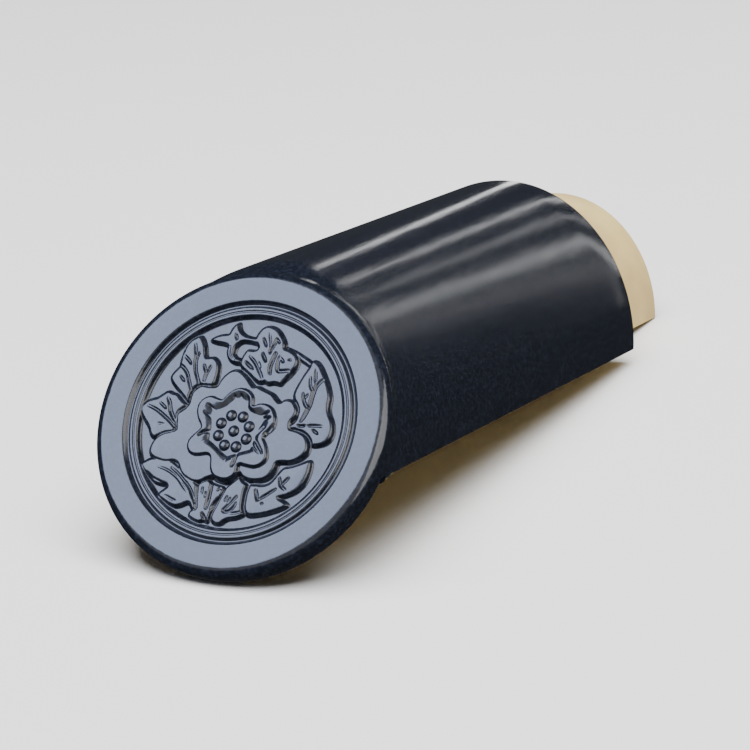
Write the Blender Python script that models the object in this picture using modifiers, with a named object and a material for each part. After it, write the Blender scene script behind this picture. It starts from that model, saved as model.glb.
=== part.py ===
"""Eave-end barrel tile: a half-round roof tile closed by a disc with a peony medallion.

The tile is modelled in its own frame, then laid on the ground as it lies when put down:
the barrel runs along +Y, the disc looks along -Y and the socket end is at +Y.
"""

from math import acos, cos, hypot, pi, radians, sin, sqrt, tan

import bmesh
import bpy
from mathutils import Matrix, Vector

# ---- driving dimensions, in metres ----
MM = 0.001

FACE_RADIUS = 60.7 * MM         # flat rim of the disc, out to where its edge starts to round
EDGE_ROUND = 4.8 * MM           # rounding of the disc's front edge
DISC_RADIUS = FACE_RADIUS + EDGE_ROUND
DISC_THICKNESS = 12.0 * MM
BACK_ROUND = 3.5 * MM
DISC_LEAN = radians(28.9)       # the disc's face looks this far above the barrel's axis

BARREL_HALF_WIDTH = 65.0 * MM
BARREL_RISE = 74.5 * MM
BARREL_LENGTH = 289.5 * MM      # along the axis, from the disc's face to the shoulder
BARREL_WALL = 13.0 * MM
AXIS_DROP = 18.7 * MM           # barrel axis below the disc's centre, in the plane of the face
FOOT_CORNER = 2.0 * MM          # rounding of the barrel's long lower corners
SHOULDER_ROUND = 2.5 * MM
NECK_START = 4.2 * MM           # the barrel is joined to the disc this deep behind its face
NECK_END = 23.0 * MM
NECK_RINGS = 9
NECK_SLOPE = (0.15, 1.0)        # how fast it grows out of the disc's rim, at its feet and its top

LUTE_LENGTH = 11.0 * MM         # fillet of clay between the disc's back and the barrel's feet
LUTE_DROP = 3.0 * MM
LUTE_INNER = 5.0 * MM           # rounding of the hollow's front corner, inside the barrel
LUTE_SKIN = 2.0 * MM            # clay smeared over the disc's back inside the barrel

SPIGOT_HALF_WIDTH = 50.5 * MM
SPIGOT_RISE = 58.5 * MM
SPIGOT_LENGTH = 65.0 * MM
SPIGOT_WALL = 11.5 * MM
SPIGOT_LIFT = 1.5 * MM          # the spigot's feet stand this far above the barrel's
SPIGOT_ROUND = 1.5 * MM
BORE_TAPER = 12.0 * MM          # length over which the bore narrows to the spigot's

# Ring mouldings of the disc: (radius, depth behind the face), from the rim inwards, in mm.
MOULDING = (
    (52.2, 0.0), (51.4, 0.5), (50.7, 1.9), (49.7, 2.1), (49.2, 1.1), (48.5, 0.7), (47.9, 0.8),
    (47.6, 1.2), (47.3, 0.8), (46.7, 0.7), (46.1, 1.1), (45.5, 2.6), (44.2, 3.0),
)
FIELD_DEPTH = 3.0 * MM          # the sunk ground that the flower and leaves rise from

TURN_STEPS = 64                 # facets round the disc
ARCH_STEPS = 36                 # facets over the barrel
OUTLINE_STEPS = 7               # facets along each side of a leaf or petal
SKIN = 0.6 * MM                 # how far joined pieces run into each other

# ---- the medallion ----
FLOWER = (-1.0, -4.4)           # centre of the peony in the plane of the face, mm
STAMEN_RING = 6.9               # radius of the ring of stamens, mm
STAMEN_COUNT = 8
STAMEN_RADIUS = 2.4
STAMEN_TOP = 5.3                # above the sunk ground, mm

# Petals: direction in degrees, reach from the centre, width, in mm.
INNER_PETALS = ((152, 20.3, 14.0), (92, 18.1, 13.5), (28, 18.9, 13.0),
                (-30, 20.2, 13.0), (-87, 22.1, 14.5), (206, 21.0, 13.5))
OUTER_PETALS = ((196, 37.0, 14.5), (238, 28.0, 17.0), (-52, 26.5, 17.0), (-5, 35.2, 15.0),
                (30, 28.5, 12.0), (64, 24.0, 14.0), (99, 26.5, 16.0), (138, 26.0, 16.0),
                (166, 27.0, 12.0))
INNER_CUP = 13.0                # radius inside which the inner petals are one cup, mm
OUTER_BED = 22.5                # radius inside which the outer petals are one bed, mm
# Leaves: foot, then each lobe's tip and width, in mm.
LEAVES = {
    "upper_left": ((-23.5, 7.0), ((-27.0, 34.3, 11.5), (-35.3, 15.5, 9.0), (-17.5, 25.3, 7.0))),
    "left": ((-27.0, -4.5), ((-35.0, 9.5, 9.0), (-44.2, 1.5, 11.0), (-39.5, -8.5, 8.0))),
    "top_right": ((8.0, 17.5), ((4.5, 41.6, 13.5), (19.0, 30.3, 9.0), (-5.3, 29.0, 8.0))),
    "right": ((26.5, 1.0), ((29.0, 29.3, 12.5), (39.0, 14.0, 9.5), (41.5, -3.5, 8.0))),
    "lower_right": ((12.0, -36.5), ((36.0, -13.3, 13.5), (30.8, -32.0, 8.0), (12.5, -25.5, 5.0))),
    "foot": ((1.0, -43.5), ((6.0, -24.5, 12.5), (20.0, -37.5, 4.0))),
    "lower_left": ((-9.5, -40.0), ((-38.3, -21.3, 10.0), (-28.0, -35.5, 9.0), (-12.0, -43.8, 5.0))),
}
# The bud above the flower: foot, then the tips and widths of its pointed leaves.
BUD = ((-8.5, 33.0), ((-21.3, 33.4, 5.0), (-10.8, 41.3, 5.5), (1.0, 35.2, 5.0), (-9.0, 24.8, 4.5)))
# The stems under the flower: common foot, then tips and widths.
STEMS = ((-5.5, -43.3), ((-10.3, -27.0, 2.6), (-7.2, -26.5, 2.6), (-4.0, -27.5, 2.6)))

LEAF_RISE = 1.7
OUTER_PETAL_RISE = 2.0
INNER_PETAL_RISE = 3.6
STEM_RISE = 1.3
LEVEL_STEP = 0.06               # neighbours differ this much in height, mm

BLACK_GLAZE = ((0.014, 0.016, 0.020, 1.0), 0.25)    # colour and roughness


def clear_scene():
    for thing in list(bpy.data.objects):
        bpy.data.objects.remove(thing, do_unlink=True)


def new_collection(name):
    made = bpy.data.collections.new(name)
    bpy.context.scene.collection.children.link(made)
    return made


def new_object(name, bm, collection):
    bmesh.ops.recalc_face_normals(bm, faces=bm.faces)
    mesh = bpy.data.meshes.new(name)
    bm.to_mesh(mesh)
    bm.free()
    made = bpy.data.objects.new(name, mesh)
    collection.objects.link(made)
    return made


def add_loft(bm, rings):
    """A closed solid through rings of equally many points; returns the face that caps its end."""
    loops = [[bm.verts.new(point) for point in ring] for ring in rings]
    for near, far in zip(loops, loops[1:]):
        for i in range(len(near)):
            j = (i + 1) % len(near)
            bm.faces.new((near[i], near[j], far[j], far[i]))
    bm.faces.new(list(reversed(loops[0])))
    return bm.faces.new(loops[-1])


# ---- the disc ----

def disc_to_tile():
    """Disc frame (X right, Y into the tile, Z up the face) to tile frame."""
    centre = Vector((0, AXIS_DROP * sin(DISC_LEAN), AXIS_DROP * cos(DISC_LEAN)))
    return Matrix.Translation(centre) @ Matrix.Rotation(-DISC_LEAN, 4, "X")


def quarter_turn(centre, radius, start, end, steps):
    """Points (radius, depth) on an arc, angles from the outward direction towards the back."""
    points = []
    for i in range(steps + 1):
        angle = start + (end - start) * i / steps
        points.append((centre[0] + radius * cos(angle), centre[1] + radius * sin(angle)))
    return points


def disc_profile():
    """(radius, depth) from the middle of the face, over the edge, to the middle of the back."""
    points = [(0.0, FIELD_DEPTH)]
    points += [(radius * MM, depth * MM) for radius, depth in reversed(MOULDING)]
    points += quarter_turn((FACE_RADIUS, EDGE_ROUND), EDGE_ROUND, -pi / 2, 0.0, 4)
    back = (DISC_RADIUS - BACK_ROUND, DISC_THICKNESS - BACK_ROUND)
    points += quarter_turn(back, BACK_ROUND, 0.0, pi / 2, 3)
    points.append((0.0, DISC_THICKNESS))
    return points


def make_disc(collection):
    """The profile turned about the disc's own axis."""
    bm = bmesh.new()
    verts = [bm.verts.new((radius, 0, -depth)) for radius, depth in disc_profile()]
    for a, b in zip(verts, verts[1:]):
        bm.edges.new((a, b))
    mesh = bpy.data.meshes.new("disc")
    bm.to_mesh(mesh)
    bm.free()
    disc = bpy.data.objects.new("disc", mesh)
    collection.objects.link(disc)
    screw = disc.modifiers.new("turn", "SCREW")
    screw.steps = screw.render_steps = TURN_STEPS
    screw.use_merge_vertices = True
    screw.merge_threshold = 0.00001
    screw.use_smooth_shade = False
    # The turning axis becomes the disc's outward normal.
    disc.matrix_world = disc_to_tile() @ Matrix.Rotation(pi / 2, 4, "X")
    return disc


# ---- the barrel ----

def arch(half_width, rise, foot, corner):
    """Outline (x, z) of a half-round section whose feet reach down to z = -foot."""
    first = acos(max(corner - foot, 0.0) / rise)
    points = []
    for i in range(ARCH_STEPS + 1):
        angle = first - 2 * first * i / ARCH_STEPS
        points.append((half_width * sin(angle), rise * cos(angle)))
    outer = half_width * sin(first)
    for angle in (radians(45), radians(90)):
        points.append((-outer + corner * (1 - cos(angle)), -foot + corner * (1 - sin(angle))))
    for angle in (radians(90), radians(45)):
        points.append((outer - corner * (1 - cos(angle)), -foot + corner * (1 - sin(angle))))
    return points


def across(points, y):
    """The outline set square across the barrel."""
    return [Vector((x, y, z)) for x, z in points]


def along_disc(points, depth):
    """The outline set parallel to the disc, this deep behind its face."""
    return [Vector((x, z * tan(DISC_LEAN) + depth / cos(DISC_LEAN), z)) for x, z in points]


def rim_limit(depth, z):
    """How far from the disc's centre the barrel may reach at this depth and height."""
    feet, top = NECK_SLOPE
    slope = feet + (top - feet) * max(z, 0.0) / BARREL_RISE
    return DISC_RADIUS - 0.5 * MM + (depth - NECK_START) * slope


def inside_rim(points, depth):
    """Draws the outline in to the disc's rim where it would stand out past it."""
    shift = depth * tan(DISC_LEAN) - AXIS_DROP
    drawn = []
    for x, z in points:
        up_face = z / cos(DISC_LEAN) + shift
        reach = hypot(x, up_face)
        scale = min(1.0, rim_limit(depth, z) / reach)
        drawn.append((x * scale, (up_face * scale - shift) * cos(DISC_LEAN)))
    return drawn


def lute_foot(depth):
    """How far the clay fillet carries the barrel's feet down, behind the disc's back."""
    along = min(max((depth - DISC_THICKNESS) / LUTE_LENGTH, 0.0), 1.0)
    return LUTE_DROP * (1 - sqrt(1 - (1 - along) ** 2))


def make_barrel(collection):
    """The solid half-round block, before its bore is cut."""
    rings = []
    for i in range(NECK_RINGS):
        deep = NECK_START + (NECK_END - NECK_START) * (i / (NECK_RINGS - 1)) ** 1.3
        outline = arch(BARREL_HALF_WIDTH, BARREL_RISE, lute_foot(deep), FOOT_CORNER)
        rings.append(along_disc(inside_rim(outline, deep), deep))
    for i in range(4):
        angle = radians(30 * i)
        inset = SHOULDER_ROUND * (1 - cos(angle))
        y = BARREL_LENGTH - SHOULDER_ROUND * (1 - sin(angle))
        rings.append(across(arch(BARREL_HALF_WIDTH - inset, BARREL_RISE - inset, 0.0, FOOT_CORNER), y))
    bm = bmesh.new()
    add_loft(bm, rings)
    return new_object("barrel", bm, collection)


def make_spigot(collection):
    end = BARREL_LENGTH + SPIGOT_LENGTH
    rings = [across(arch(SPIGOT_HALF_WIDTH, SPIGOT_RISE, -SPIGOT_LIFT, FOOT_CORNER),
                    BARREL_LENGTH - BORE_TAPER)]
    for i in range(3):
        angle = radians(45 * i)
        inset = SPIGOT_ROUND * (1 - cos(angle))
        outline = arch(SPIGOT_HALF_WIDTH - inset, SPIGOT_RISE - inset, -SPIGOT_LIFT - inset, FOOT_CORNER)
        rings.append(across(outline, end - SPIGOT_ROUND * (1 - sin(angle))))
    bm = bmesh.new()
    add_loft(bm, rings)
    return new_object("spigot", bm, collection)


def make_bore(collection):
    """The hollow under the barrel: open below and at the spigot, rounded at the disc."""
    below = 40 * MM
    width = BARREL_HALF_WIDTH - BARREL_WALL
    rise = BARREL_RISE - BARREL_WALL
    front = DISC_THICKNESS + LUTE_SKIN
    rings = []
    for i in range(4):
        angle = radians(30 * i)
        inset = LUTE_INNER * (1 - sin(angle))
        depth = front + LUTE_INNER * (1 - cos(angle))
        rings.append(along_disc(arch(width - inset, rise - inset, below, FOOT_CORNER), depth))
    narrow = (SPIGOT_HALF_WIDTH - SPIGOT_WALL, SPIGOT_RISE - SPIGOT_WALL)
    rings.append(across(arch(width, rise, below, FOOT_CORNER), BARREL_LENGTH - BORE_TAPER * 1.5))
    rings.append(across(arch(*narrow, below, FOOT_CORNER), BARREL_LENGTH - BORE_TAPER * 0.5))
    rings.append(across(arch(*narrow, below, FOOT_CORNER), BARREL_LENGTH + SPIGOT_LENGTH + 5 * MM))
    bm = bmesh.new()
    add_loft(bm, rings)
    return new_object("bore", bm, collection)


# ---- the relief ----

def lobe_outline(foot, tip, width, fullness, foot_width):
    """Closed outline, in mm, of a lobe: narrow at its foot, widest at fullness, round at its tip."""
    foot = Vector(foot)
    along = Vector(tip) - foot
    side = Vector((-along.y, along.x)).normalized() * width / 2
    right, left = [], []
    for i in range(OUTLINE_STEPS):
        t = 0.5 - 0.5 * cos(pi * i / OUTLINE_STEPS)
        if t < fullness:
            share = foot_width + (1 - foot_width) * sin(pi / 2 * t / fullness)
        else:
            share = sqrt(max(1 - ((t - fullness) / (1 - fullness)) ** 2, 0.0))
        right.append(foot + along * t - side * share)
        left.append(foot + along * t + side * share)
    return right + [foot + along] + list(reversed(left))


def add_form(bm, outline, rise, crown):
    """A raised form on the sunk ground: steep wall, rounded shoulder, crowned top."""
    middle = sum(outline, Vector((0, 0))) / len(outline)
    rings = []
    for scale, height in ((1.0, -SKIN / MM), (1.0, rise * 0.5), (0.93, rise * 0.9), (0.8, rise)):
        rings.append([Vector((middle.x + (p.x - middle.x) * scale, FIELD_DEPTH / MM - height,
                              middle.y + (p.y - middle.y) * scale)) * MM for p in outline])
    top = add_loft(bm, rings)
    poked = bmesh.ops.poke(bm, faces=[top])
    for vert in poked["verts"]:
        vert.co.y = FIELD_DEPTH - (rise + crown) * MM


def add_stamens(bm):
    places = [(0.0, 0.0)]
    for i in range(STAMEN_COUNT):
        angle = 2 * pi * (i + 0.5) / STAMEN_COUNT
        places.append((STAMEN_RING * cos(angle), STAMEN_RING * sin(angle)))
    for x, z in places:
        centre = Vector((FLOWER[0] + x, FIELD_DEPTH / MM - STAMEN_TOP + STAMEN_RADIUS, FLOWER[1] + z))
        bmesh.ops.create_uvsphere(bm, u_segments=8, v_segments=6, radius=STAMEN_RADIUS * MM,
                                  matrix=Matrix.Translation(centre * MM))


def petal(direction, reach, width, start):
    """Foot and tip of a petal that starts at this share of its reach from the flower's centre."""
    out = Vector((cos(radians(direction)), sin(radians(direction)))) * reach
    centre = Vector(FLOWER)
    return centre + out * start, centre + out, width


def round_outline(radius, sides):
    """A circle about the flower's centre."""
    turns = [2 * pi * i / sides for i in range(sides)]
    return [Vector(FLOWER) + Vector((cos(turn), sin(turn))) * radius for turn in turns]


def make_relief(collection):
    bm = bmesh.new()
    lobes = []
    for foot, tips in LEAVES.values():
        lobes += [(foot, tip, 0.62, 0.5, LEAF_RISE) for tip in tips]
    lobes += [(BUD[0], tip, 0.45, 0.5, LEAF_RISE) for tip in BUD[1]]
    lobes += [(STEMS[0], tip, 0.45, 0.5, STEM_RISE) for tip in STEMS[1]]
    for i, (foot, (x, z, width), fullness, foot_width, rise) in enumerate(lobes):
        outline = lobe_outline(foot, (x, z), width, fullness, foot_width)
        add_form(bm, outline, rise + LEVEL_STEP * (i % 4), 0.25)
    add_form(bm, round_outline(OUTER_BED, 20), OUTER_PETAL_RISE, 0.1)
    for i, (direction, reach, width) in enumerate(OUTER_PETALS):
        foot, tip, width = petal(direction, reach, width, 0.3)
        add_form(bm, lobe_outline(foot, tip, width, 0.6, 0.8), OUTER_PETAL_RISE + LEVEL_STEP * (i % 3), 0.2)
    add_form(bm, round_outline(INNER_CUP, 18), INNER_PETAL_RISE - 1.0, -0.5)
    for i, (direction, reach, width) in enumerate(INNER_PETALS):
        foot, tip, width = petal(direction, reach, width, 0.3)
        add_form(bm, lobe_outline(foot, tip, width, 0.55, 0.55), INNER_PETAL_RISE + LEVEL_STEP * (i % 3), -0.3)
    add_stamens(bm)
    relief = new_object("relief", bm, collection)
    relief.matrix_world = disc_to_tile()
    return relief


# ---- joining and laying down ----

def joined(base, steps):
    """One closed solid from the base and a list of (operation, other object)."""
    for operation, other in steps:
        boolean = base.modifiers.new(other.name, "BOOLEAN")
        boolean.operation = operation
        boolean.object = other
        boolean.solver = "EXACT"
        boolean.use_self = other.name == "relief"
    bpy.context.view_layer.update()
    seen = base.evaluated_get(bpy.context.evaluated_depsgraph_get())
    mesh = bpy.data.meshes.new_from_object(seen)
    mesh.transform(base.matrix_world)
    return mesh


def resting_matrix(mesh):
    """Tips the tile until the disc's edge and the spigot's feet are level, then centres it."""
    low, high = radians(-20), radians(20)
    for _ in range(40):
        middle = (low + high) / 2
        turn = Matrix.Rotation(-middle, 3, "X")
        heights = [((turn @ vert.co).z, vert.co.y) for vert in mesh.vertices]
        front = min(z for z, y in heights if y < BARREL_LENGTH / 2)
        rear = min(z for z, y in heights if y >= BARREL_LENGTH / 2)
        if rear > front:
            low = middle
        else:
            high = middle
    turn = Matrix.Rotation(-(low + high) / 2, 4, "X")
    placed = [turn @ vert.co for vert in mesh.vertices]
    centre = (min(p.y for p in placed) + max(p.y for p in placed)) / 2
    return Matrix.Translation((0, -centre, -min(p.z for p in placed))) @ turn


def glaze_material():
    colour, roughness = BLACK_GLAZE
    material = bpy.data.materials.new("black glaze")
    material.use_nodes = True
    shader = material.node_tree.nodes["Principled BSDF"]
    shader.inputs["Base Color"].default_value = colour
    shader.inputs["Roughness"].default_value = roughness
    material.diffuse_color = colour
    return material


def main():
    clear_scene()
    tile_collection = new_collection("eave_tile")
    workings = new_collection("workings")
    disc = make_disc(workings)
    steps = [("UNION", make_barrel(workings)), ("UNION", make_spigot(workings)),
             ("DIFFERENCE", make_bore(workings)), ("UNION", make_relief(workings))]
    mesh = joined(disc, steps)
    mesh.name = "eave_tile"
    mesh.transform(resting_matrix(mesh))
    mesh.materials.append(glaze_material())
    tile = bpy.data.objects.new("eave_tile", mesh)
    tile_collection.objects.link(tile)
    for thing in workings.objects:
        thing.hide_render = True
        thing.display_type = "WIRE"


main()
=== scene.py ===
"""Eave-end barrel tile: black-glazed barrel, medallion disc with a peony, bare clay spigot."""

from math import acos, cos, pi, radians, sin, tan

import bmesh
import bpy
import numpy as np
from mathutils import Matrix, Vector


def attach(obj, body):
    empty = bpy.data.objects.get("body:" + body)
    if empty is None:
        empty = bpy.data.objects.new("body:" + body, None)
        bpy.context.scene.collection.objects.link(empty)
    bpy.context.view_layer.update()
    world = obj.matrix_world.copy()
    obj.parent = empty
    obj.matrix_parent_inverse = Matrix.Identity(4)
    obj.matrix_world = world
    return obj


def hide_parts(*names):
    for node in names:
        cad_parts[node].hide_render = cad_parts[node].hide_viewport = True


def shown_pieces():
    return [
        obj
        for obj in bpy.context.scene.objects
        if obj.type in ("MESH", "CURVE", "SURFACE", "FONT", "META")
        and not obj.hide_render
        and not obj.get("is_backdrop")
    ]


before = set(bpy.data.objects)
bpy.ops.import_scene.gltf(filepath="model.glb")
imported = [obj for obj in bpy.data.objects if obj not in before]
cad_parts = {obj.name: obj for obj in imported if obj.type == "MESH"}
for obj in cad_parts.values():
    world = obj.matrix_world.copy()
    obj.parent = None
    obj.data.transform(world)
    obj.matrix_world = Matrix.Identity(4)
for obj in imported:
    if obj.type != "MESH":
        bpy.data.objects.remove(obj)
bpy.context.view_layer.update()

bl_info = {
    "name": "Eave tile",
    "version": (1, 0, 0),
    "blender": (4, 5, 0),
    "location": "View3D > Sidebar > Eave tile",
    "description": "A black-glazed eave tile with a peony medallion, and a studio for it",
    "category": "Add Mesh",
}

MM = 0.001
TINY = 1e-6
WELD = 2e-6                     # m
SHARP = radians(35)             # edges of the skin that bend more than this stay crisp
NODE = "eave_tile"

# ---- the tile's own frame: barrel along +Y, its springing plane at z = 0 ----
FACE_RADIUS = 60.7
EDGE_ROUND = 4.8
DISC_THICKNESS = 12.0
BACK_ROUND = 3.5
LEAN = radians(28.9)            # the face looks this far above the barrel's axis
HALF_WIDTH = 65.0
RISE = 74.5
LENGTH = 289.5
WALL = 13.0
AXIS_DROP = 18.7
LUTE_DROP = 3.0                 # fillet of clay between the disc's back and the barrel's feet
LUTE_LENGTH = 11.0
LUTE_INNER = 5.0
LUTE_SKIN = 2.0
SPIGOT_HALF_WIDTH = 50.5
SPIGOT_RISE = 58.5
SPIGOT_LENGTH = 65.0
SPIGOT_WALL = 11.5
SPIGOT_LIFT = 1.5
BORE_TAPER = 12.0
NECK_START = 4.2
NECK_END = 27.0
NECK_SLOPE = (0.15, 1.0)
SHOULDER_ROUND = 2.5
SPIGOT_ROUND = 1.5
SPIGOT_FILLET = 1.5             # where the spigot leaves the shoulder
CORNER = 2.0                    # easing of the long lower corners
DISC_RADIUS = FACE_RADIUS + EDGE_ROUND
NECK_INSET = 0.5                # the neck starts this far inside the disc's edge
NECK_EASE = 0.8
FIRST_SQUARE = 92.0             # from here on the rings stand square across the barrel
BORE_BELOW = 40.0               # the cutting tool reaches this far below the feet
BORE_EASE = 2.0
BORE_STEPS = 96

# The tile as it lies: (row of Y, row of Z) of its own frame's y, z and 1.
LYING_Y = (0.9918686151504517, 0.1272662729024887, -0.1665942370891571)
LYING_Z = (-0.1272662729024887, 0.9918686151504517, 0.04343719780445099)
LYING_TURN = Matrix(((1, 0, 0), (0, *LYING_Y[:2]), (0, *LYING_Z[:2])))
LYING_SHIFT = Vector((0, LYING_Y[2], LYING_Z[2]))

TURN = 320                      # facets round the disc and the barrel
FIELD_RADIUS = 53.0             # the carved part of the face, out to the flat rim
FIELD_JOIN = FIELD_RADIUS + 1.0  # ring where the carved grid meets the rest of the skin
FLAT_RIM_RADII = (FIELD_JOIN, 56.5, 59.0)
SIDE_DEPTHS = (5.6, 6.4, 7.3, 8.1)
RING_STEP = 0.38
FINE_STEP = 0.32                # ring step under the mouldings, outside FINE_RADIUS
FINE_RADIUS = 44.0
CENTRE_GAP = 0.6
GRID_ZONES = ((23.0, 2 * TURN), (11.5, TURN), (5.5, TURN // 2), (0.0, TURN // 4))
FIELD_DEPTH = 3.0

# Ring mouldings: (radius, depth behind the face), from the rim inwards.
MOULDING = (
    (52.6, 0.0), (52.0, 0.2), (51.4, 0.9), (50.8, 1.7), (50.2, 1.9), (49.8, 1.5), (49.4, 0.95),
    (49.0, 0.75), (48.2, 0.72), (47.9, 0.95), (47.65, 1.3), (47.4, 0.95), (47.1, 0.72), (46.3, 0.78),
    (45.9, 1.1), (45.4, 2.1), (44.9, 2.75), (44.3, 2.97), (43.6, 3.0),
)

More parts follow.
